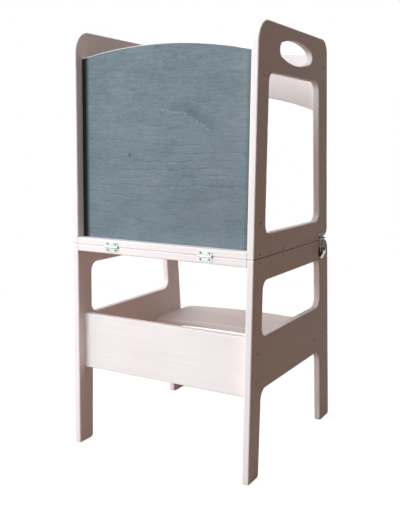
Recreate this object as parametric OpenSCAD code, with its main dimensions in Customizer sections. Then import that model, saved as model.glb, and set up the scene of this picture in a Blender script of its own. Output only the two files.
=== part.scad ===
// Folding learning tower with a chalkboard front
// Two plywood halves joined by front hinges and held shut by toggle latches.
// Closed it is a tower; unlatched, the top half swings over the front and
// stands on the floor, so that the two seam boards make a table and the
// step becomes its bench. Front faces -Y, the floor is z = 0.

/* [Overall] */
// Height of the closed tower
overall_height = 905; // [760:5:1000]
// Height of the seam between the two halves
seam_height = 455.5; // [380:0.5:500]
// Width over the two side panels
overall_width = 435; // [360:5:540]
// Plywood thickness
ply = 15; // [12:0.5:18]
// Radius of the rounded plywood edges
edge_round = 2.5; // [1:0.25:3]

/* [Side panels] */
// Depth at the floor
depth_floor = 473; // [400:1:560]
// Depth of the lower half at the seam
depth_below_seam = 416; // [360:0.5:480]
// Depth of the upper half at the seam
depth_above_seam = 413; // [360:0.5:480]
// Depth at the top
depth_top = 363; // [300:1:420]
// Radius of the top front corner
top_front_round = 45; // [20:1:80]
// Radius of the top rear corner
top_rear_round = 32; // [20:1:80]
// Radius of the lower half's rear corner at the seam
seam_rear_round = 28; // [10:1:50]
// Where the finger relief under the upper half begins
relief_start = 366; // [340:1:390]
// How far the relief has risen at the rear edge
relief_rise = 13.5; // [0:0.5:25]
// Radius of the upper half's corner above the relief
relief_round = 16; // [8:1:30]

/* [Windows and legs] */
// Upper window from the front edge
upper_front_band = 52.5; // [40:0.5:80]
// Upper window from the rear edge
upper_rear_band = 53.5; // [40:0.5:80]
// Upper window bottom above the seam
upper_window_low = 46; // [30:1:90]
// Upper window top above the seam
upper_window_high = 355; // [250:1:370]
// Radius of the upper window's corners
upper_window_round = 20; // [8:1:40]
// Lower window from the front edge
lower_front_band = 48; // [40:0.5:80]
// Lower window from the rear edge
lower_rear_band = 57; // [40:0.5:80]
// Lower window bottom above the floor
lower_window_low = 295; // [250:1:320]
// Lower window top above the floor
lower_window_high = 408.5; // [360:0.5:420]
// Radius of the lower window's front corners
lower_round_front = 20; // [8:1:40]
// Radius of the lower window's rear corners
lower_round_rear = 22; // [8:1:40]
// Width of the front leg under the arch
front_leg = 51; // [40:1:80]
// Width of the rear leg
rear_leg = 61; // [40:1:80]
// Height of the arch between the legs
leg_arch = 184; // [120:1:220]
// Radius of the arch at the front leg
arch_round_front = 22; // [8:1:40]
// Radius of the arch at the rear leg
arch_round_rear = 30; // [8:1:40]

/* [Hand hole] */
// Length of the oval
grip_length = 173; // [110:1:200]
// Height of the oval
grip_height = 47.5; // [30:0.5:60]
// Height of its middle above the floor
grip_level = 858; // [800:1:870]
// Distance of its middle from the front edge
grip_middle = 188; // [150:1:220]

/* [Boards] */
// Set-back of the chalkboard and apron from the front edge
board_setback = 20.5; // [5:0.5:40]
// Height of the chalkboard at its ends
chalk_end_height = 849; // [700:1:880]
// Rise of its arched top in the middle
chalk_rise = 22; // [0:1:40]
// Depth of the standing board above the seam
standing_depth = 320; // [250:1:360]
// Depth of the table board under the seam
table_depth = 262; // [200:1:320]
// Bottom of the front apron
apron_low = 174; // [100:1:220]
// Top of the front apron
apron_high = 297.5; // [240:0.5:330]
// Front face of the rear rail
rail_front = 342.5; // [300:0.5:346]
// Top of the rear rail
rail_high = 876; // [820:1:880]
// Bottom of the rear rail at its ends
rail_low = 749.5; // [700:0.5:790]
// Rise of the rail's arched bottom edge
rail_rise = 38; // [0:1:50]

/* [Step] */
// Height of the step's top face
step_height = 227.5; // [180:0.5:260]
// Front edge of the step at its ends
step_front = 311; // [280:1:330]
// Rear edge of the step at its ends
step_rear = 486; // [470:1:500]
// How far the middle of the front edge curves back
step_front_bow = 27; // [5:1:40]
// How far the middle of the rear edge curves out
step_rear_bow = 31; // [5:1:40]

/* [Hardware] */
// Sideways distance of each hinge from the middle
hinge_spread = 112.5; // [60:1:160]
// Width of a hinge
hinge_width = 31; // [25:1:50]
// Distance of the latches from the front edge
latch_middle = 366; // [330:1:380]
// Height of the lever pivots
latch_pivot_level = 434; // [430:0.5:437]
// Opening angle of the lever in this drawing
lever_turn = 0; // [0:1:130]

/* [Hidden] */
$fn = 64;
fine = 180;
spill = 1;

paint = [0.86, 0.76, 0.74];
slate = [0.46, 0.53, 0.56];
nickel = [0.72, 0.72, 0.70];
steel_dark = [0.30, 0.28, 0.27];

half_width = overall_width / 2;
inner_half = half_width - ply;
// the drawing is measured from the front faces, then centred over the floor
hardware_front = -4.55;
step_crown = step_rear + step_rear_bow + 2.5;
frame_middle = (hardware_front + step_crown) / 2;
board_mid = board_setback + ply / 2;
rail_mid = rail_front + ply / 2;
lower_slope = (depth_floor - depth_below_seam) / seam_height;
upper_slope = (depth_above_seam - depth_top) / (overall_height - seam_height);

// Frame screws, as [from the front, above the floor]
chalkboard_spots = [[board_mid, 524], [board_mid, 803]];
standing_spots = [for (y = [27, 144, 293]) [y, seam_height + ply / 2]];
rail_spots = [[rail_mid, 783], [rail_mid, 845]];
table_spots = [for (y = [27, 144, 234]) [y, seam_height - ply / 2]];
apron_spots = [[board_mid, 205], [board_mid, 265]];
step_spots = [for (y = [351, 419]) [y, step_height - ply / 2]];
upper_screw_spots = concat(chalkboard_spots, standing_spots, rail_spots);
lower_screw_spots = concat(table_spots, apron_spots, step_spots);
screw_length = 42;
screw_shank = 2.4;
screw_head = 3.6;
screw_head_depth = 2.2;

// ---------------------------------------------------------------- outlines
// An outline is a list of corners [x, y, radius], taken anticlockwise.
function at(c, i) = c[(i + len(c)) % len(c)];
function spot(p) = [p[0], p[1]];
function way(a, b) = (spot(b) - spot(a)) / norm(spot(b) - spot(a));
function left_of(u) = [-u[1], u[0]];
function way_in(c, i) = way(at(c, i - 1), at(c, i));
function way_out(c, i) = way(at(c, i), at(c, i + 1));
function turn(c, i) = atan2(left_of(way_in(c, i)) * way_out(c, i), way_in(c, i) * way_out(c, i));
function bend(c, i) = sign(turn(c, i));
function reach(c, i) = at(c, i)[2] * tan(abs(turn(c, i)) / 2);
function hub(c, i) = spot(at(c, i)) - way_in(c, i) * reach(c, i)
    + bend(c, i) * at(c, i)[2] * left_of(way_in(c, i));
function first_angle(c, i) = let (v = -bend(c, i) * left_of(way_in(c, i))) atan2(v[1], v[0]);
function steps(c, i) = max(2, ceil(abs(turn(c, i)) * (0.06 + sqrt(at(c, i)[2]) / 90)));
function corner_points(c, i, inset) =
    let (r = at(c, i)[2] - bend(c, i) * inset, n = steps(c, i))
    [for (k = [0:n]) let (a = first_angle(c, i) + turn(c, i) * k / n) hub(c, i) + r * [cos(a), sin(a)]];
function ring(c, inset) = [for (i = [0:len(c) - 1]) each corner_points(c, i, inset)];
// index of the first point of corner i in a ring
function first_of(c, i) = i == 0 ? 0 : first_of(c, i - 1) + steps(c, i - 1) + 1;
function last_of(c, i) = first_of(c, i) + steps(c, i);
function level(points, z) = [for (p = points) [p[0], p[1], z]];
function fan(hub_point, from, to) = [for (j = [from:to - 1]) [hub_point, j, j + 1]];

// Stacks rings into a closed skin. stack = [[inset, z], ...] from the bottom up.
module skin(c, stack, cap) {
    count = len(ring(c, 0));
    top = (len(stack) - 1) * count;
    sides = [for (k = [0:len(stack) - 2], j = [0:count - 1])
        let (a = k * count + j, b = k * count + (j + 1) % count) each [
            [a, a + count, b + count],
            [a, b + count, b]
        ]];
    lid = [for (t = cap) [t[0] + top, t[2] + top, t[1] + top]];
    polyhedron(points = [for (s = stack) each level(ring(c, s[0]), s[1])], faces = concat(cap, sides, lid));
}

arc_marks = [0, 30, 60, 90];
round_in = [for (a = arc_marks) [edge_round * (1 - sin(a)), edge_round * (1 - cos(a))]];
function mirrored_stack(s, thick) = [for (k = [len(s) - 1:-1:0]) [s[k][0], thick - s[k][1]]];

// A plate with rounded edges all round; cap lists the triangles of its flat face
module soft_plate(c, thick, cap) {
    skin(c, concat(round_in, mirrored_stack(round_in, thick)), cap);
}

// The cutter for an opening whose rims are rounded on both faces
module soft_opening(c, thick) {
    count = len(ring(c, 0));
    flare = [for (k = [0:len(arc_marks) - 1]) [-round_in[k][0], k == 0 ? -0.05 : round_in[k][1]]];
    half = concat([[-edge_round, -spill]], flare);
    skin(c, concat(half, mirrored_stack(half, thick)), fan(0, 1, count - 1));
}

// ---------------------------------------------------------------- profiles
module rounded_sheet(wide, high, r) {
    translate([r, 0]) square([wide - 2 * r, high]);
    translate([0, r]) square([wide, high - 2 * r]);
    for (x = [r, wide - r], y = [r, high - r]) translate([x, y]) circle(r = r);
}

// half section of a disc whose rim is rounded, for rotate_extrude
module disc_section(radius, thick) {
    r = edge_round;
    square([radius - r, thick]);
    translate([0, r]) square([radius, thick - 2 * r]);
    for (y = [r, thick - r]) translate([radius - r, y]) circle(r = r);
}

function arc_radius(half_chord, rise) = (half_chord * half_chord + rise * rise) / (2 * rise);

module in_frame() translate([0, -frame_middle, 0]) children();

// across = Y, up = Z, thickness along +X
module stand_sideways() rotate([90, 0, 90]) children();

// ---------------------------------------------------------------- screws
module frame_screw() {
    cylinder(r1 = screw_head, r2 = screw_shank, h = screw_head_depth);
    cylinder(r = screw_shank, h = screw_length - 4);
    translate([0, 0, screw_length - 4]) cylinder(r1 = screw_shank, r2 = 0.8, h = 4);
}

module frame_screw_socket() {
    difference() {
        frame_screw();
        translate([0, 0, 0.6]) cylinder(r = 1.6, h = 1.8, center = true, $fn = 6);
    }
}

// what a screw leaves in a side panel or a board end
module frame_screw_hole() {
    translate([0, 0, -spill]) cylinder(r = screw_head, h = spill + 0.001);
    cylinder(r1 = screw_head, r2 = screw_shank, h = screw_head_depth);
    cylinder(r = screw_shank, h = screw_length - 4);
    translate([0, 0, screw_length - 4]) cylinder(r1 = screw_shank, r2 = 0.8, h = 4);
}

module on_both_sides(spots) {
    for (side = [-1, 1], p = spots) {
        translate([side * half_width, p[0], p[1]]) rotate([0, -side * 90, 0]) children();
    }
}

// ---------------------------------------------------------------- side panels
function rear_edge_upper(z) = depth_above_seam - upper_slope * (z - seam_height);
function rear_edge_lower(z) = depth_floor - lower_slope * z;

// the finger relief lets two fingers in under the upper half beside the latch
relief_end = seam_height + relief_rise;
upper_corners = [
    [0, seam_height, 3], [relief_start, seam_height, 40],
    [rear_edge_upper(relief_end), relief_end, relief_round],
    [depth_top, overall_height, top_rear_round], [0, overall_height, top_front_round]
];

upper_low = seam_height + upper_window_low;
upper_high = seam_height + upper_window_high;
upper_window = [
    [upper_front_band, upper_low, upper_window_round],
    [rear_edge_upper(upper_low) - upper_rear_band, upper_low, upper_window_round],
    [rear_edge_upper(upper_high) - upper_rear_band, upper_high, upper_window_round],
    [upper_front_band, upper_high, upper_window_round]
];
lower_window = [
    [lower_front_band, lower_window_low, lower_round_front],
    [rear_edge_lower(lower_window_low) - lower_rear_band, lower_window_low, lower_round_rear],
    [rear_edge_lower(lower_window_high) - lower_rear_band, lower_window_high, lower_round_rear],
    [lower_front_band, lower_window_high, lower_round_front]
];

// four-arc oval, drawn as a lozenge with two long and two short rounds
grip_end = 14;
grip_a = grip_length / 2;
grip_b = grip_height / 2;
grip_long = (pow(grip_a - grip_end, 2) + pow(grip_b, 2) - pow(grip_end, 2)) / (2 * (grip_b - grip_end));
grip_lean = atan((grip_a - grip_end) / (grip_long - grip_b));
grip_reach = grip_a + grip_end * (1 / sin(grip_lean) - 1);
grip_rise = grip_b + grip_long * (1 / cos(grip_lean) - 1);
grip_hole = [
    [grip_middle - grip_reach, grip_level, grip_end],
    [grip_middle, grip_level - grip_rise, grip_long - 9],
    [grip_middle + grip_reach, grip_level, grip_end],
    [grip_middle, grip_level + grip_rise, grip_long - 9]
];

module upper_side() {
    stand_sideways() difference() {
        soft_plate(upper_corners, ply, fan(0, 1, len(ring(upper_corners, 0)) - 1));
        soft_opening(upper_window, ply);
        soft_opening(grip_hole, ply);
    }
}

lower_corners = [
    [0, 0, 4], [front_leg - 3, 0, 8],
    [front_leg, leg_arch, arch_round_front],
    [rear_edge_lower(leg_arch) - rear_leg, leg_arch, arch_round_rear],
    [depth_floor - rear_leg, 0, 8], [depth_floor, 0, 9],
    [depth_below_seam, seam_height, seam_rear_round], [0, seam_height, 3]
];

// the flat face in two fans, because the arch makes the outline hollow
module lower_side() {
    c = lower_corners;
    count = len(ring(c, 0));
    front_hub = first_of(c, 7);
    rear_hub = last_of(c, 6);
    arch_end = first_of(c, 3);
    cap = concat(
        [for (j = [front_hub + 1:count - 2]) [front_hub, j, j + 1]],
        [[front_hub, count - 1, 0]],
        fan(front_hub, 0, arch_end),
        [[front_hub, arch_end, rear_hub]],
        fan(rear_hub, arch_end, rear_hub - 1)
    );
    stand_sideways() difference() {
        soft_plate(c, ply, cap);
        soft_opening(lower_window, ply);
    }
}

module side_screw_holes(side, spots) {
    for (p = spots) {
        translate([side * half_width, p[0], p[1]]) rotate([0, -side * 90, 0]) frame_screw_hole();
    }
}

module left_upper_side() {
    color(paint) in_frame() difference() {
        translate([-half_width, 0, 0]) upper_side();
        side_screw_holes(-1, upper_screw_spots);
        latch_screw_holes(-1, keeper_screws);
    }
}

module right_upper_side() {
    color(paint) in_frame() difference() {
        translate([inner_half, 0, 0]) upper_side();
        side_screw_holes(1, upper_screw_spots);
        latch_screw_holes(1, keeper_screws);
    }
}

module left_lower_side() {
    color(paint) in_frame() difference() {
        translate([-half_width, 0, 0]) lower_side();
        side_screw_holes(-1, lower_screw_spots);
        latch_screw_holes(-1, base_screws);
    }
}

module right_lower_side() {
    color(paint) in_frame() difference() {
        translate([inner_half, 0, 0]) lower_side();
        side_screw_holes(1, lower_screw_spots);
        latch_screw_holes(1, base_screws);
    }
}

// ---------------------------------------------------------------- boards
module across_board(front, low, wide, high) {
    translate([-inner_half, front, low]) rotate([90, 0, 90]) linear_extrude(2 * inner_half)
        rounded_sheet(wide, high, edge_round);
}

module standing_board() {
    color(paint) in_frame() difference() {
        across_board(0, seam_height, standing_depth, ply);
        on_both_sides(standing_spots) frame_screw_hole();
        hinge_screw_spots(1) hinge_screw_hole();
    }
}

module table_board() {
    color(paint) in_frame() difference() {
        across_board(0, seam_height - ply, table_depth, ply);
        on_both_sides(table_spots) frame_screw_hole();
        hinge_screw_spots(-1) hinge_screw_hole();
    }
}

module front_apron() {
    color(paint) in_frame() difference() {
        across_board(board_setback, apron_low, ply, apron_high - apron_low);
        on_both_sides(apron_spots) frame_screw_hole();
    }
}

chalk_radius = arc_radius(inner_half, chalk_rise);
module chalkboard() {
    base = seam_height + ply;
    crown = chalk_end_height + chalk_rise;
    color(slate) in_frame() difference() {
        intersection() {
            translate([0, board_setback + ply, crown - chalk_radius]) rotate([90, 0, 0])
                rotate_extrude($fn = fine) disc_section(chalk_radius, ply);
            translate([-inner_half, board_setback - spill, base])
                cube([2 * inner_half, ply + 2 * spill, crown + spill - base]);
        }
        on_both_sides(chalkboard_spots) frame_screw_hole();
    }
}

// the rail's blank runs past both panels, so that its trimmed ends stay square
rail_radius = arc_radius(inner_half, rail_rise);
rail_end = inner_half + 12;
rail_lean = asin((inner_half + 4) / rail_radius);
rail_apex = rail_low + rail_rise + rail_radius * (1 / cos(rail_lean) - 1);
rail_corners = [
    [-rail_end, rail_apex - rail_end * tan(rail_lean), 3], [0, rail_apex, rail_radius],
    [rail_end, rail_apex - rail_end * tan(rail_lean), 3],
    [rail_end, rail_high, 3], [-rail_end, rail_high, 3]
];

module rear_rail() {
    c = rail_corners;
    middle = first_of(c, 1) + floor(steps(c, 1) / 2);
    right_hub = first_of(c, 3);
    left_hub = last_of(c, 4);
    cap = concat(
        fan(left_hub, 0, middle), [[left_hub, middle, right_hub]],
        fan(right_hub, middle, right_hub - 1), fan(left_hub, right_hub, left_hub - 1)
    );
    color(paint) in_frame() difference() {
        intersection() {
            translate([0, rail_front + ply, 0]) rotate([90, 0, 0]) soft_plate(c, ply, cap);
            translate([-inner_half, rail_front - spill, 0]) cube([2 * inner_half, ply + 2 * spill, overall_height]);
        }
        on_both_sides(rail_spots) frame_screw_hole();
    }
}

step_corner = 20;
step_front_lean = asin(inner_half / arc_radius(inner_half, step_front_bow));
step_rear_lean = asin(inner_half / arc_radius(inner_half, step_rear_bow));
step_apex = step_rear + inner_half * tan(step_rear_lean);
step_corners = [
    [-inner_half, step_front, 3],
    [0, step_front + inner_half * tan(step_front_lean), arc_radius(inner_half, step_front_bow) * 0.97],
    [inner_half, step_front, 3], [inner_half, step_rear, step_corner],
    [0, step_apex, (step_apex - step_crown) / (1 / cos(step_rear_lean) - 1)],
    [-inner_half, step_rear, step_corner]
];

// plan of the step, its flat face fanned from the middle of the rear edge
module step_board() {
    c = step_corners;
    count = len(ring(c, 0));
    middle = first_of(c, 4) + floor(steps(c, 4) / 2);
    cap = [for (j = [1:count - 2]) [middle, (middle + j) % count, (middle + j + 1) % count]];
    color(paint) in_frame() difference() {
        translate([0, 0, step_height - ply]) soft_plate(c, ply, cap);
        on_both_sides(step_spots) frame_screw_hole();
    }
}

module upper_frame_screws() {
    color(steel_dark) in_frame() on_both_sides(upper_screw_spots) frame_screw_socket();
}

module lower_frame_screws() {
    color(steel_dark) in_frame() on_both_sides(lower_screw_spots) frame_screw_socket();
}

// ---------------------------------------------------------------- hinges
leaf_thick = 1.2;
leaf_high = 10;
leaf_corner = 2;
knuckle_r = 2.2;
knuckle_gap = 0.2;
knuckles = 5;
pin_r = 1.2;
pin_fit = 0.05;
hinge_axis = -knuckle_r - 0.15;
knuckle_pitch = hinge_width / knuckles;
leaf_screw_rise = 6.4;
leaf_screw_spread = 10;

// a leaf's flat plate, rounded at the two corners away from its knuckles
module leaf_plate(high) {
    rotate([90, 0, 0]) linear_extrude(leaf_thick) {
        square([hinge_width, leaf_corner]);
        rounded_sheet(hinge_width, high, leaf_corner);
    }
}

// up = 1 makes the leaf above the seam with the odd knuckles, -1 the one below
module hinge_leaf(up) {
    own = up > 0 ? [0, 2, 4] : [1, 3];
    low = knuckle_r + 0.4;
    difference() {
        union() {
            mirror([0, 0, up > 0 ? 0 : 1])
                translate([-hinge_width / 2, 0, low]) leaf_plate(leaf_high - low);
            for (k = own) {
                start = -hinge_width / 2 + k * knuckle_pitch + knuckle_gap / 2;
                length = knuckle_pitch - knuckle_gap;
                translate([start, -leaf_thick, up > 0 ? 0 : -low - 0.5])
                    cube([length, leaf_thick - 0.15, low + 0.5]);
                translate([start, hinge_axis, 0]) rotate([0, 90, 0]) cylinder(r = knuckle_r, h = length);
            }
        }
        translate([-hinge_width, hinge_axis, 0]) rotate([0, 90, 0])
            cylinder(r = pin_r + (up > 0 ? pin_fit : 0), h = 2 * hinge_width);
        for (x = [-leaf_screw_spread, leaf_screw_spread]) {
            translate([x, 0, up * leaf_screw_rise]) rotate([-90, 0, 0]) hinge_screw_cut();
        }
    }
}

module hinge_screw_cut() {
    translate([0, 0, -leaf_thick - spill]) cylinder(r = 1.5, h = leaf_thick + 2 * spill);
    translate([0, 0, -leaf_thick - 0.001]) cylinder(r1 = 2.5, r2 = 1.5, h = 1);
}

module small_screw(long, recess = 2.5, shank = 1.5) {
    cylinder(r1 = recess, r2 = shank, h = 1);
    cylinder(r = shank, h = long - 2);
    translate([0, 0, long - 2]) cylinder(r1 = shank, r2 = 0.4, h = 2);
}

module crossed_screw(long) {
    difference() {
        small_screw(long);
        for (a = [0, 90]) rotate(a) translate([-1.4, -0.25, -spill]) cube([2.8, 0.5, spill + 0.5]);
    }
}

module hinge_screw_hole() {
    small_screw(13);
}

// the screw tips point into the board, +Y
module hinge_screw_spots(up) {
    for (side = [-1, 1], x = [-leaf_screw_spread, leaf_screw_spread]) {
        translate([side * hinge_spread + x, -leaf_thick, seam_height + up * leaf_screw_rise])
            rotate([-90, 0, 0]) children();
    }
}

module each_hinge() {
    for (side = [-1, 1]) translate([side * hinge_spread, 0, seam_height]) children();
}

module hinge_lower_leaves() {
    color(nickel) in_frame() each_hinge() hinge_leaf(-1);
}

module hinge_upper_leaves() {
    color(nickel) in_frame() each_hinge() hinge_leaf(1);
}

module hinge_pin() {
    cylinder(r = pin_r, h = hinge_width + 0.8);
    cylinder(r = 1.7, h = 0.7);
}

module hinge_pins() {
    color(nickel) in_frame() each_hinge()
        translate([-hinge_width / 2 - 0.8, hinge_axis, 0]) rotate([0, 90, 0]) hinge_pin();
}

module hinge_lower_screws() {
    color(steel_dark) in_frame() hinge_screw_spots(-1) crossed_screw(13);
}

module hinge_upper_screws() {
    color(steel_dark) in_frame() hinge_screw_spots(1) crossed_screw(13);
}

// ---------------------------------------------------------------- toggle latches
// Latch pieces are drawn on the right side panel: x = distance out from its
// face, y = along the panel from the latch's middle line, z = above the pivot.
plate_thick = 1.5;
plate_half = 14.5;
plate_corner = 3;
pivot_out = 6;
crank = 6;
rest_lean = 10;
wire_r = 1.25;
ear_half = 6.5;
ear_round = 3.5;
cheek_gap = 0.3;
cheek_half = ear_half + cheek_gap + plate_thick;
arm_y = cheek_half + 0.3 + wire_r;
wire_pivot = [pivot_out - crank * sin(rest_lean), -crank * cos(rest_lean)];
wire_top = [plate_thick + 0.7 + wire_r, 30];
ledge_top = wire_top[1] - wire_r - 0.25;
ledge_thick = 2.2;
lip_inner = wire_top[0] + wire_r + 4.5;
lip_high = 0.5;
lip_thick = 1;
keeper_half = 5.8;
keeper_low = seam_height + 3.5 - latch_pivot_level;
keeper_high = 39.5;
base_low = -21;
base_high = 8;
pin_radius = 1.5;
latch_screw_long = 13;

// Latch screws, as [along the panel, above the pivot]
base_screws = [[0, -16], [0, 4.5]];
keeper_screws = [[-8.5, 35], [8.5, 35]];

module on_side(side) {
    translate([side * half_width, latch_middle, latch_pivot_level])
        mirror([side > 0 ? 0 : 1, 0, 0]) children();
}

// a bar along the panel, centred on the latch's middle line
module cross_bar(p, radius, long) {
    translate([p[0], -long / 2, p[1]]) rotate([-90, 0, 0]) cylinder(r = radius, h = long);
}

// turns a side-view shape [out, up] into a solid of the given width about y = from
module across_latch(from, wide) {
    translate([0, from + wide, 0]) rotate([90, 0, 0]) linear_extrude(wide) children();
}

module at_latch_screws(spots) {
    for (p = spots) translate([plate_thick, p[0], p[1]]) rotate([0, -90, 0]) children();
}

module latch_screw_holes(side, spots) {
    on_side(side) at_latch_screws(spots) small_screw(latch_screw_long);
}

// a flat plate with rounded corners, screwed to the panel
module latch_plate(low, high) {
    stand_sideways() linear_extrude(plate_thick) translate([-plate_half, low])
        rounded_sheet(2 * plate_half, high - low, plate_corner);
}

// side view of the two ears that carry the lever's pin
module ear() {
    translate([0, -ear_round]) square([pivot_out, 2 * ear_round]);
    translate([pivot_out, 0]) circle(r = ear_round);
}

module latch_base() {
    difference() {
        union() {
            latch_plate(base_low, base_high);
            for (y = [-ear_half, ear_half - plate_thick]) across_latch(y, plate_thick) ear();
        }
        cross_bar([pivot_out, 0], pin_radius, 40);
        at_latch_screws(base_screws) small_screw(latch_screw_long);
    }
}

module right_latch_base() {
    color(nickel) in_frame() on_side(1) latch_base();
}

module left_latch_base() {
    color(nickel) in_frame() on_side(-1) latch_base();
}

module lever_pin() {
    cross_bar([pivot_out, 0], pin_radius, 2 * cheek_half + 0.4);
}

module right_lever_pin() {
    color(nickel) in_frame() on_side(1) lever_pin();
}

module left_lever_pin() {
    color(nickel) in_frame() on_side(-1) lever_pin();
}

lever_long = 20;
back = pivot_out + 3.9;
tail = 3.4;
// side view of a cheek plate of the lever
module cheek() {
    translate([pivot_out, 0]) circle(r = 4.2);
    translate(wire_pivot) circle(r = 3.2);
    polygon([
        [wire_pivot[0] - 3.1, wire_pivot[1] - 0.7], [tail - 0.8, -lever_long + 8.5],
        [tail + 0.6, -lever_long + 4.4], [tail + 2, -lever_long + 4.4],
        [back + 0.3, -8.1], [back + 1, -2.2], [pivot_out + 3.4, 2.5], [pivot_out - 3.8, 1.9]
    ]);
}

// side view of the lever's back: it leans in from the pivot and ends in an outward lip
module lever_back() {
    polygon([
        [back, -2.2], [back + plate_thick, -2.2], [back + 0.9, -8.4],
        [tail + 1.8, -lever_long + 2.6], [tail + 2.8, -lever_long],
        [tail + 1.5, -lever_long - 0.7], [tail, -lever_long + 2.6], [back - 0.6, -8]
    ]);
}

module latch_lever() {
    difference() {
        union() {
            for (y = [-cheek_half, cheek_half - plate_thick]) across_latch(y, plate_thick) cheek();
            across_latch(-cheek_half, 2 * cheek_half) lever_back();
        }
        cross_bar([pivot_out, 0], pin_radius + pin_fit, 40);
        cross_bar(wire_pivot, wire_r + pin_fit, 40);
    }
}

module turned_lever() {
    translate([pivot_out, 0, 0]) rotate([0, -lever_turn, 0]) translate([-pivot_out, 0, 0]) children();
}

module right_latch_lever() {
    color(nickel) in_frame() on_side(1) turned_lever() latch_lever();
}

module left_latch_lever() {
    color(nickel) in_frame() on_side(-1) turned_lever() latch_lever();
}

bail_turn = 1.06;
bail_vector = wire_top - wire_pivot;
bail_long = norm(bail_vector);
bail_lean = atan2(bail_vector[0], bail_vector[1]);

low_bend = 1.5;
top_bend = 2.6;
// a quarter turn of the wire, from its start angle round the centre of the bend
module wire_corner(height, bend, start) {
    translate([0, arm_y - bend, height]) stand_sideways() rotate(start)
        rotate_extrude(angle = 90) translate([bend, 0]) circle(r = wire_r);
}

// a closed wire loop standing on its lower bar, rounded at its four corners
module bail_loop() {
    cross_bar([0, 0], wire_r, 2 * (arm_y - low_bend));
    cross_bar([0, bail_long], wire_r, 2 * (arm_y - top_bend));
    for (s = [0, 1]) mirror([0, s, 0]) {
        translate([0, arm_y, low_bend]) cylinder(r = wire_r, h = bail_long - low_bend - top_bend);
        wire_corner(low_bend, low_bend, -90);
        wire_corner(bail_long - top_bend, top_bend, 0);
    }
}

module latch_bail() {
    translate([wire_pivot[0], 0, wire_pivot[1]])
        rotate([0, bail_lean + lever_turn * bail_turn, 0]) bail_loop();
}

module right_latch_bail() {
    color(nickel) in_frame() on_side(1) turned_lever() latch_bail();
}

module left_latch_bail() {
    color(nickel) in_frame() on_side(-1) turned_lever() latch_bail();
}

module latch_keeper() {
    difference() {
        union() {
            latch_plate(keeper_low, keeper_high);
            across_latch(-keeper_half, 2 * keeper_half) polygon([
                [0, ledge_top - 3.2], [plate_thick, ledge_top - 3.2],
                [plate_thick + 1.5, ledge_top - ledge_thick],
                [lip_inner + lip_thick, ledge_top - ledge_thick],
                [lip_inner + lip_thick, ledge_top + lip_high],
                [lip_inner + 0.2, ledge_top + lip_high],
                [lip_inner, ledge_top], [0, ledge_top]
            ]);
        }
        at_latch_screws(keeper_screws) small_screw(latch_screw_long);
    }
}

module right_latch_keeper() {
    color(nickel) in_frame() on_side(1) latch_keeper();
}

module left_latch_keeper() {
    color(nickel) in_frame() on_side(-1) latch_keeper();
}

module latch_screws(spots) {
    for (side = [-1, 1]) on_side(side) at_latch_screws(spots) crossed_screw(latch_screw_long);
}

module latch_base_screws() {
    color(steel_dark) in_frame() latch_screws(base_screws);
}

module latch_keeper_screws() {
    color(steel_dark) in_frame() latch_screws(keeper_screws);
}

// ---------------------------------------------------------------- assembly
left_lower_side();
right_lower_side();
front_apron();
table_board();
step_board();
left_upper_side();
right_upper_side();
chalkboard();
standing_board();
rear_rail();
lower_frame_screws();
upper_frame_screws();
hinge_lower_leaves();
hinge_upper_leaves();
hinge_pins();
hinge_lower_screws();
hinge_upper_screws();
right_latch_base();
left_latch_base();
right_lever_pin();
left_lever_pin();
right_latch_lever();
left_latch_lever();
right_latch_bail();
left_latch_bail();
right_latch_keeper();
left_latch_keeper();
latch_base_screws();
latch_keeper_screws();
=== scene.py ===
"""Folding learning tower: finishes for its boards and hardware, and a plain studio."""

import math

import bpy
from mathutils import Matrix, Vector


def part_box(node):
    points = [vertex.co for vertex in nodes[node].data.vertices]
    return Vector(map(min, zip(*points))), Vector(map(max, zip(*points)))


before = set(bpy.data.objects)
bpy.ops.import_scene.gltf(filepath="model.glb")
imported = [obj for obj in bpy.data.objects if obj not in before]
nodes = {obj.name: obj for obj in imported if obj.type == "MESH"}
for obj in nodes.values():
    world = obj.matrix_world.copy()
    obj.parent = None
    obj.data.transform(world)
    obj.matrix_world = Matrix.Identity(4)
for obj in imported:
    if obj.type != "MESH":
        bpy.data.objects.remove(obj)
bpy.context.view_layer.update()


# ------------------------------------------------------------------ shader writing
class Sig:
    """One socket's signal. An expression on signals and numbers adds its Math nodes."""

    def __init__(self, mat, socket):
        self.mat = mat
        self.socket = socket

    def _math(self, operation, *values):
        return self.mat.node("ShaderNodeMath", {"operation": operation}, values)[0]

    def __add__(self, other):
        return self._math("ADD", self, other)

    def __radd__(self, other):
        return self._math("ADD", other, self)

    def __sub__(self, other):
        return self._math("SUBTRACT", self, other)

    def __rsub__(self, other):
        return self._math("SUBTRACT", other, self)

    def __mul__(self, other):
        return self._math("MULTIPLY", self, other)

    def __rmul__(self, other):
        return self._math("MULTIPLY", other, self)

    def __pow__(self, other):
        return self._math("POWER", self, other)

    def abs(self):
        return self._math("ABSOLUTE", self)

    def root(self):
        return self._math("SQRT", self)

    def fraction(self):
        return self._math("FRACT", self)

    def at_least(self, floor):
        return self._math("MAXIMUM", self, floor)

    def clamp(self):
        """Held between 0 and 1."""
        return self.mat.node("ShaderNodeClamp", {}, {"Value": self})[0]

    def rise(self, low, high):
        """0 below low, 1 above high, smooth between them."""
        return self.mat.node("ShaderNodeMapRange", {"interpolation_type": "SMOOTHSTEP"},
                             {"Value": self, "From Min": low, "From Max": high})[0]

    def bell(self, middle, half):
        """1 at middle, 0 further from it than half."""
        return 1 - (self - middle).abs().rise(0.0, half)

    def swing(self, amount):
        """A noise's swing to either side of its middle, times amount."""
        return (self - 0.5) * amount


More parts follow.
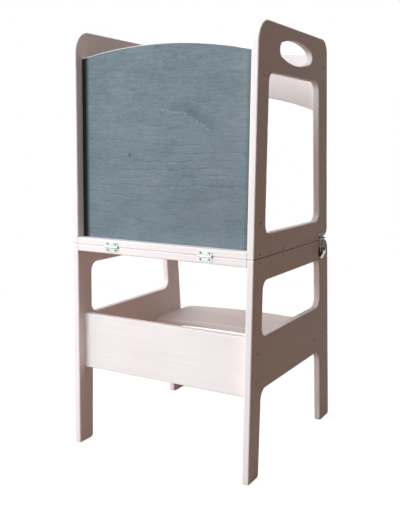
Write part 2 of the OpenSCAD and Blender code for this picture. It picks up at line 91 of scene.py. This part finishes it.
class Finish:
    """A material or world, with one method that adds any node."""

    def __init__(self, name, kind="materials", ending="ShaderNodeOutputMaterial"):
        self.material = getattr(bpy.data, kind).new(name)
        self.material.use_nodes = True
        self.tree = self.material.node_tree
        self.tree.nodes.clear()
        self.out = self.tree.nodes.new(ending)
        self.place = None

    def node(self, kind, settings, values):
        """Adds a node: its settings first, then its sockets' values or links.
        Returns the outputs in use, as signals."""
        made = self.tree.nodes.new(kind)
        for key, value in settings.items():
            setattr(made, key, value)
        for key, value in values.items() if isinstance(values, dict) else enumerate(values):
            if isinstance(value, Sig):
                self.tree.links.new(value.socket, made.inputs[key])
            else:
                made.inputs[key].default_value = value
        return [Sig(self, socket) for socket in made.outputs if socket.enabled]

    def named(self, kind):
        """A node with many outputs and no inputs: its outputs by their names."""
        return {made.socket.name: made for made in self.node(kind, {}, {})}

    def where(self):
        """Object coordinates."""
        if self.place is None:
            self.place = self.named("ShaderNodeTexCoord")["Object"]
        return self.place

    def axes(self):
        """Object coordinates as x, y and z."""
        return self.node("ShaderNodeSeparateXYZ", {}, [self.where()])

    def scaled(self, sx, sy, sz, shift=(0.0, 0.0, 0.0)):
        """Object coordinates stretched per axis."""
        return self.node("ShaderNodeMapping", {"vector_type": "POINT"},
                         {"Vector": self.where(), "Scale": (sx, sy, sz), "Location": shift})[0]

    def noise(self, place, scale, detail, roughness, distortion=0.0):
        return self.node("ShaderNodeTexNoise", {"noise_dimensions": "3D"},
                         {"Vector": place, "Scale": scale, "Detail": detail,
                          "Roughness": roughness, "Distortion": distortion})[0]

    def cells(self, place, scale):
        """Distance to the nearest of many scattered points."""
        return self.node("ShaderNodeTexVoronoi", {"feature": "F1"},
                         {"Vector": place, "Scale": scale})[0]

    def blend(self, factor, first, second):
        """Mixes two colours. The Mix node's colour sockets are its 7th and 8th."""
        return self.node("ShaderNodeMix", {"data_type": "RGBA"},
                         {0: factor, 6: first, 7: second})[0]

    def relief(self, height, depth, strength):
        return self.node("ShaderNodeBump", {},
                         {"Strength": strength, "Distance": depth, "Height": height})[0]

    def mixed(self, factor, first, second):
        """Mixes two shaders."""
        return self.node("ShaderNodeMixShader", {}, {0: factor, 1: first, 2: second})[0]

    def show(self, shader):
        """Shows a shader and returns the finished material or world."""
        self.tree.links.new(shader.socket, self.out.inputs["Surface"])
        return self.material

    def surface(self, **sockets):
        values = {key.replace("_", " "): value for key, value in sockets.items()}
        return self.show(self.node("ShaderNodeBsdfPrincipled", {}, values)[0])


def rgb(red, green, blue):
    """A colour as seen on a screen, 0 to 255, made linear."""
    def linear(c):
        c = c / 255
        return c / 12.92 if c <= 0.04045 else ((c + 0.055) / 1.055) ** 2.4
    return (linear(red), linear(green), linear(blue), 1.0)


def reach(a, b):
    """The length of the line whose run along two axes is a and b."""
    return ((a ** 2.0) + (b ** 2.0)).root()


# ------------------------------------------------------------------ places on the tower
PLY = 0.015                     # thickness of every board
PLIES = 11                      # veneers in it
ARCH_RISE = 0.022               # the chalkboard's top above its two shoulders
SEAM_SHADE_HALF = 0.0019             # half width of the painted shade in the groove where the two halves meet
SEAM_SHADE_FRONT = (0.0015, 0.006)   # it fades in over this, behind the front edges
SEAM_SHADE_WRAP = (0.0012, 0.0022)   # it fades out over this, round the edges
FOOT_SCUFF = 0.03               # the feet are scuffed up to this height

side_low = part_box("right_upper_side")[0]
side_inner = side_low.x
side_outer = side_inner + PLY
seam = side_low.z

slate_low, slate_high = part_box("chalkboard")
arch_radius = (slate_high.x ** 2 + ARCH_RISE ** 2) / (2 * ARCH_RISE)
arch_level = slate_high.z - arch_radius

keeper_low, keeper_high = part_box("right_latch_keeper")
plate_half = (keeper_high.y - keeper_low.y) / 2
plate_middle = keeper_low.y + plate_half
PLATE_RIM = (0.0013, 0.0007)    # a plate's painted highlight along its rim, inwards from its edge

lever_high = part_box("right_latch_lever")[1]
LEVER_BEND = 0.0122             # from a lever's top down to where it starts to lean in
LEVER_LEAN = 0.63               # how far it leans in for each step down
LEVER_BACK = 0.0018             # depth of its back
LEVER_FADE = (-0.0003, 0.0002)  # the back's painted highlight fades in over this


def into_board(node, axis):
    """Distance into an upright or level board from its low face."""
    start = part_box(node)[0][axis]
    return lambda x, y, z: (x, y, z)[axis] - start


def rear_edge(node):
    """Distance in from a board's rear edge."""
    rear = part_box(node)[1].y
    return lambda x, y, z: rear - y


def plate_rim(x, y, z):
    """1 along the upright edges of a latch's two plates, where a highlight is painted."""
    return (y - plate_middle).abs().rise(*[plate_half - rim for rim in PLATE_RIM])


def lever_back(x, y, z):
    """1 on the back of a latch's lever, which leans in below its pivot, where a highlight is
    painted.
    """
    lean = (lever_high.z - LEVER_BEND - z).at_least(0.0) * LEVER_LEAN
    return (x.abs() - (lever_high.x - LEVER_BACK - lean)).rise(*LEVER_FADE)


# ------------------------------------------------------------------ finishes
def veneers(depth):
    """1 in the middle of each veneer on a cut edge, 0 at the glue lines."""
    return (depth * (PLIES / PLY)).fraction().bell(0.5, 0.32)


def painted_board(name, along, thickness, behind=None):
    """Satin blush paint on plywood, with a few specks, and scuffed at the floor. The grain runs
    along one axis and shows through a little, and the cut edges show the veneers;
    thickness(x, y, z) measures into the board. Where the halves meet, behind(x, y, z) measures
    in from the face that shows the painted shade of the groove between them."""
    f = Finish(name)
    x, y, z = f.axes()
    stretch = {"x": (7.0, 170.0, 170.0), "z": (170.0, 170.0, 7.0)}[along]
    grain = f.noise(f.scaled(*stretch), 1.0, 4.0, 0.62, 0.35)
    cloud = f.noise(f.where(), 5.0, 2.0, 0.5)
    stipple = f.noise(f.where(), 620.0, 2.0, 0.6)
    veneer = veneers(thickness(x, y, z))
    tone = (0.5 + grain.swing(0.65) + cloud.swing(0.8) - veneer * 0.22).clamp()
    colour = f.blend(tone, rgb(231, 218, 216), rgb(246, 238, 237))
    scuff = (1 - z.rise(0.0, FOOT_SCUFF)) * f.noise(f.where(), 140.0, 3.0, 0.6).rise(0.5, 0.72)
    colour = f.blend(scuff * 0.22, colour, rgb(176, 158, 148))
    speck = 1 - f.cells(f.where(), 46.0).rise(0.02, 0.05)
    colour = f.blend(speck * 0.25, colour, rgb(205, 186, 178))
    if behind:
        # Painted shade in the groove where the upper and lower halves meet.
        seam_shade = (z - seam).bell(0.0, SEAM_SHADE_HALF) * (y - side_low.y).rise(*SEAM_SHADE_FRONT)
        seam_shade = seam_shade * (1 - behind(x, y, z).rise(*SEAM_SHADE_WRAP))
        colour = f.blend(seam_shade * 0.85, colour, rgb(92, 66, 54))
    height = grain * 0.55 + stipple * 0.45 - veneer * 0.35
    return f.surface(
        Base_Color=colour,
        Roughness=(0.4 + grain.swing(0.16) + stipple.swing(0.1) + scuff * 0.15).clamp(),
        Specular_IOR_Level=0.05,
        Normal=f.relief(height, depth=0.00018, strength=0.35))


RINGS = 54.0                        # rings of the figure in a metre
KNOT_X, KNOT_UP = -0.081, 0.1785    # the knot, from the middle and the lower edge
KNOT_CORE = (0.0008, 0.0062)        # its dark core fades over this
FLAME_UP = 0.2665                   # the flame line, from the lower edge
FLAME_DROP = 0.047                  # its fall towards the right
CORNER_SHADE = (0.0075, 0.0205)      # the painted shade at the ends fades over this, in from the sides
ARCH_PAINT = (0.0016, 0.0008)       # the top edge's paint begins over this, in from the edge


def slate_stained(name):
    """Matt slate stain on birch veneer: a level figure in loose waves, each ring a dark line
    beside a pale one, fine fibres, a roller's stipple, one small knot, a pale flame line with
    a darker patch of figure over it, painted shade at the ends beside the side panels, and blush
    paint on the arched top edge."""
    f = Finish(name)
    x, y, z = f.axes()
    up = z - slate_low.z

    knot = reach(x - KNOT_X, (up - KNOT_UP) * 1.4)
    swell = f.noise(f.scaled(1.7, 1.0, 7.0, (0.4, 0.0, 0.2)), 1.0, 2.0, 0.5, 0.3)
    ripple = f.noise(f.scaled(44.0, 1.0, 120.0), 1.0, 2.0, 0.5)
    level = up + x.rise(-0.2, 0.04) * 0.016
    rings = level * RINGS + swell * 5.2 + ripple * 0.85 + knot.bell(0.0, 0.03) * 0.5
    strong = f.noise(f.scaled(5.0, 1.0, 14.0, (0.3, 0.0, 0.1)), 1.0, 2.0, 0.5).rise(0.36, 0.62)
    strong = strong * (0.42 + 0.58 * (up - 0.17).bell(0.0, 0.13))
    dark_line = rings.fraction().bell(0.5, 0.13) * strong
    pale_line = (rings + 0.17).fraction().bell(0.5, 0.1) * strong

    fibres = f.noise(f.scaled(22.0, 1.0, 560.0), 1.0, 3.0, 0.6)
    stipple = f.noise(f.scaled(330.0, 1.0, 330.0), 1.0, 2.0, 0.6)
    mottle = f.noise(f.scaled(13.0, 1.0, 26.0), 1.0, 4.0, 0.62, 0.4)
    haze = f.noise(f.where(), 3.2, 2.0, 0.5)
    flecks = f.noise(f.scaled(60.0, 1.0, 190.0), 1.0, 3.0, 0.6, 0.3)
    tone = 0.5 + mottle.swing(0.8) + fibres.swing(0.6) + stipple.swing(0.7)
    tone = tone + haze.swing(0.5) + flecks.swing(0.4 + 0.35 * up.rise(0.2, 0.27))
    colour = f.blend(tone.clamp(), rgb(91, 104, 109), rgb(130, 140, 145))
    colour = f.blend(dark_line * 0.36, colour, rgb(70, 85, 90))
    colour = f.blend(pale_line * 0.16, colour, rgb(150, 163, 168))

    wander = f.noise(f.scaled(70.0, 1.0, 70.0), 1.0, 3.0, 0.6)
    ridge = up - FLAME_UP + x.rise(0.02, 0.15) * FLAME_DROP + wander.swing(0.03)
    flame = ridge.bell(0.0, 0.0024) * x.rise(-0.04, 0.0) * (1 - x.rise(0.13, 0.17))
    flame = flame * flecks.rise(0.4, 0.6)
    shade = ridge.rise(0.0, 0.004) * (1 - ridge.rise(0.01, 0.04)) * (x - 0.075).bell(0.0, 0.085)
    shade = shade * mottle.rise(0.3, 0.6) * (0.4 + 0.6 * flecks.rise(0.35, 0.6))
    colour = f.blend(shade * 0.75, colour, rgb(84, 97, 102))
    colour = f.blend(flame * 0.3, colour, rgb(158, 170, 173))
    colour = f.blend((1 - knot.rise(*KNOT_CORE)) * 0.7, colour, rgb(52, 62, 62))

    # Painted shade in the corners beside the side panels, deeper at the left end than at the
    # right.
    corner_shade = 1 - (side_inner - x.abs()).rise(*CORNER_SHADE)
    colour = f.blend(corner_shade * (0.95 - 0.6 * x.rise(-0.1, 0.1)), colour, rgb(20, 23, 25))
    rim = reach(x, z - arch_level).rise(*[arch_radius - inwards for inwards in ARCH_PAINT])
    edge = f.blend(veneers(y - slate_low.y) * 0.4, rgb(240, 230, 228), rgb(218, 203, 198))
    colour = f.blend(rim, colour, edge)

    height = fibres * 0.5 + stipple * 0.5 - dark_line * 0.6
    return f.surface(
        Base_Color=colour,
        Roughness=(0.78 + fibres.swing(0.2) - pale_line * 0.08 - rim * 0.3).clamp(),
        Specular_IOR_Level=0.1,
        Normal=f.relief(height, depth=0.0002, strength=0.4))


def plated_steel(name, tint, dull, rough, painted_highlight=None):
    """Plated steel with fine drawn lines and a few dull patches; painted_highlight(x, y, z) is 1
    where a brighter colour is painted on as a highlight."""
    f = Finish(name)
    lines = f.noise(f.scaled(60.0, 900.0, 900.0), 1.0, 3.0, 0.6)
    patches = f.noise(f.where(), 190.0, 3.0, 0.6)
    dust = f.noise(f.where(), 1400.0, 1.0, 0.5).rise(0.6, 0.8)
    colour = f.blend((patches.rise(0.45, 0.75) * 0.8 + dust * 0.2).clamp(), tint, dull)
    if painted_highlight:
        # Painted highlight on the latches' plate rims and lever backs.
        bright = f.blend(patches.rise(0.35, 0.8), rgb(206, 200, 190), rgb(168, 160, 150))
        colour = f.blend(painted_highlight(*f.axes()), colour, bright)
    return f.surface(
        Base_Color=colour,
        Metallic=1.0,
        Roughness=(rough + lines.swing(0.22) + patches.swing(0.2)).clamp(),
        Normal=f.relief(lines * 0.6 + patches * 0.4, depth=0.00004, strength=0.4))


finishes = {
    "sides": painted_board("blush_paint_sides", "z", lambda x, y, z: x.abs() - side_inner,
                           lambda x, y, z: side_outer - x.abs()),
    "platform": painted_board("blush_paint_platform", "x", into_board("standing_board", 2),
                              rear_edge("standing_board")),
    "table": painted_board("blush_paint_table", "x", into_board("table_board", 2),
                           rear_edge("table_board")),
    "step": painted_board("blush_paint_step", "x", into_board("step_board", 2)),
    "apron": painted_board("blush_paint_apron", "x", into_board("front_apron", 1)),
    "rail": painted_board("blush_paint_rail", "x", into_board("rear_rail", 1)),
    "slate": slate_stained("slate_stain"),
    "hinges": plated_steel("bright_nickel", rgb(180, 184, 176), rgb(136, 139, 130), 0.34),
    "wires": plated_steel("wire_nickel", rgb(124, 120, 112), rgb(84, 79, 71), 0.26),
    # The latches' levers and plates are nickel given a dark colour as painted shade and dark
    # reflection, for their place on the tower's shaded side.
    "levers": plated_steel("lever_nickel_painted_shade", rgb(60, 56, 49), rgb(42, 38, 33), 0.3, lever_back),
    "plates": plated_steel("plate_nickel_painted_shade", rgb(60, 56, 49), rgb(42, 38, 33), 0.3, plate_rim),
    "crossheads": plated_steel("crosshead_zinc", rgb(112, 108, 100), rgb(76, 71, 64), 0.36),
    "screws": plated_steel("dark_zinc", rgb(84, 75, 68), rgb(58, 51, 45), 0.42),
}
wears = {
    "left_lower_side": "sides", "right_lower_side": "sides",
    "left_upper_side": "sides", "right_upper_side": "sides",
    "standing_board": "platform", "table_board": "table", "step_board": "step",
    "front_apron": "apron", "rear_rail": "rail", "chalkboard": "slate",
    "upper_frame_screws": "screws", "lower_frame_screws": "screws",
    "hinge_lower_leaves": "hinges", "hinge_upper_leaves": "hinges", "hinge_pins": "hinges",
    "hinge_lower_screws": "crossheads", "hinge_upper_screws": "crossheads",
    "latch_base_screws": "crossheads", "latch_keeper_screws": "crossheads",
    "right_lever_pin": "wires", "left_lever_pin": "wires",
    "right_latch_bail": "wires", "left_latch_bail": "wires",
    "right_latch_lever": "levers", "left_latch_lever": "levers",
    "right_latch_base": "plates", "left_latch_base": "plates",
    "right_latch_keeper": "plates", "left_latch_keeper": "plates",
}
for name, node in nodes.items():
    node.data.materials.clear()
    node.data.materials.append(finishes[wears[name]])


# ------------------------------------------------------------------ studio
WHITE = (1.0, 1.0, 1.0, 1.0)
WARM_ROOM = (1.0, 0.53, 0.29, 1.0)          # the room's own dim light
ROOM_STRENGTH = 0.074
WARM_BOUNCE = (0.32, 0.195, 0.13, 1.0)      # the floor as the tower sees it
GREY_FLOOR = (0.3, 0.3, 0.3, 1.0)           # takes the tower's shadow
FLOOR_GLOW = 0.9                            # lifts that shadow to a faint one
FLOOR_SIDE = 14.0
FLOOR_DROP = 0.0005                         # keeps the floor clear of the feet
SHADOW_ENDS = (0.7, 1.8)                    # the shadow fades out between these, from the middle
AIM_HEIGHT = 0.45                           # the lamps point at the tower's middle
DAYLIGHT = (0.90, 1.03, 1.11)
WARM_LIGHT = (1.0, 0.88, 0.81)
NEUTRAL = (1.0, 1.0, 1.0)
LAMPS = (
    # name, bearing, height, distance, size, power, colour
    ("front", 12.0, 6.0, 3.0, 3.0, 61.0, DAYLIGHT),
    ("key", 32.0, 24.0, 3.0, 1.6, 52.0, DAYLIGHT),
    ("side", 80.0, 15.0, 3.0, 2.4, 60.0, WARM_LIGHT),
    ("top", 0.0, 80.0, 2.2, 1.6, 18.0, NEUTRAL),
    ("rear", 175.0, 0.0, 3.0, 0.7, 31.0, NEUTRAL),
)

scene = bpy.context.scene
scene.view_settings.view_transform = "Standard"


def seen_directly(f):
    """1 where a camera, mirror or glass ray looks, 0 for light bouncing about."""
    rays = f.named("ShaderNodeLightPath")
    return (rays["Is Camera Ray"] + rays["Is Glossy Ray"] + rays["Is Transmission Ray"]).clamp()


def lit_world():
    """White to look at; a dim warm room as a source of light."""
    f = Finish("studio", "worlds", "ShaderNodeOutputWorld")
    room = f.node("ShaderNodeBackground", {}, {"Color": WARM_ROOM, "Strength": ROOM_STRENGTH})[0]
    white = f.node("ShaderNodeBackground", {}, {"Color": WHITE, "Strength": 1.0})[0]
    scene.world = f.show(f.mixed(seen_directly(f), room, white))


def pale_floor():
    """A white floor that keeps a faint shadow near the tower and runs into the white
    further off."""
    bpy.ops.object.select_all(action="DESELECT")
    bpy.ops.mesh.primitive_plane_add(size=FLOOR_SIDE, location=(0.0, 0.0, -FLOOR_DROP))
    floor = bpy.context.object
    floor.name = "floor"
    f = Finish("pale_floor")
    x, y = f.axes()[:2]
    bounce = f.node("ShaderNodeBsdfDiffuse", {}, {"Color": WARM_BOUNCE})[0]
    lit = f.node("ShaderNodeBsdfDiffuse", {}, {"Color": GREY_FLOOR})[0]
    glow = f.node("ShaderNodeEmission", {}, {"Color": WHITE, "Strength": FLOOR_GLOW})[0]
    white = f.node("ShaderNodeEmission", {}, {"Color": WHITE, "Strength": 1.0})[0]
    near = f.node("ShaderNodeAddShader", {}, {0: lit, 1: glow})[0]
    seen = f.mixed(reach(x, y).rise(*SHADOW_ENDS), near, white)
    floor.data.materials.append(f.show(f.mixed(seen_directly(f), bounce, seen)))


def soft_lamp(name, bearing, height, distance, size, power, colour):
    """An area lamp aimed at the tower. bearing is degrees to the left of straight in front,
    and height is degrees above level."""
    aim = Vector((0.0, 0.0, AIM_HEIGHT))
    a, e = math.radians(bearing), math.radians(height)
    way = Vector((-math.sin(a) * math.cos(e), -math.cos(a) * math.cos(e), math.sin(e)))
    data = bpy.data.lights.new(name, "AREA")
    data.shape = "SQUARE"
    data.size = size
    data.energy = power
    data.color = colour
    lamp = bpy.data.objects.new(name, data)
    lamp.location = aim + way * distance
    lamp.rotation_euler = way.to_track_quat("Z", "Y").to_euler()
    scene.collection.objects.link(lamp)


def stand_camera():
    """A camera in front and to the right of the tower, a little below its top."""
    data = bpy.data.cameras.new("camera")
    data.lens = 52.55
    data.sensor_width = 36.0
    camera = bpy.data.objects.new("camera", data)
    camera.location = (0.8034, -1.5252, 0.6781)
    camera.rotation_euler = [math.radians(turn) for turn in (81.395, -0.729, 29.11)]
    scene.collection.objects.link(camera)
    scene.camera = camera


lit_world()
pale_floor()
for lamp in LAMPS:
    soft_lamp(*lamp)
stand_camera()
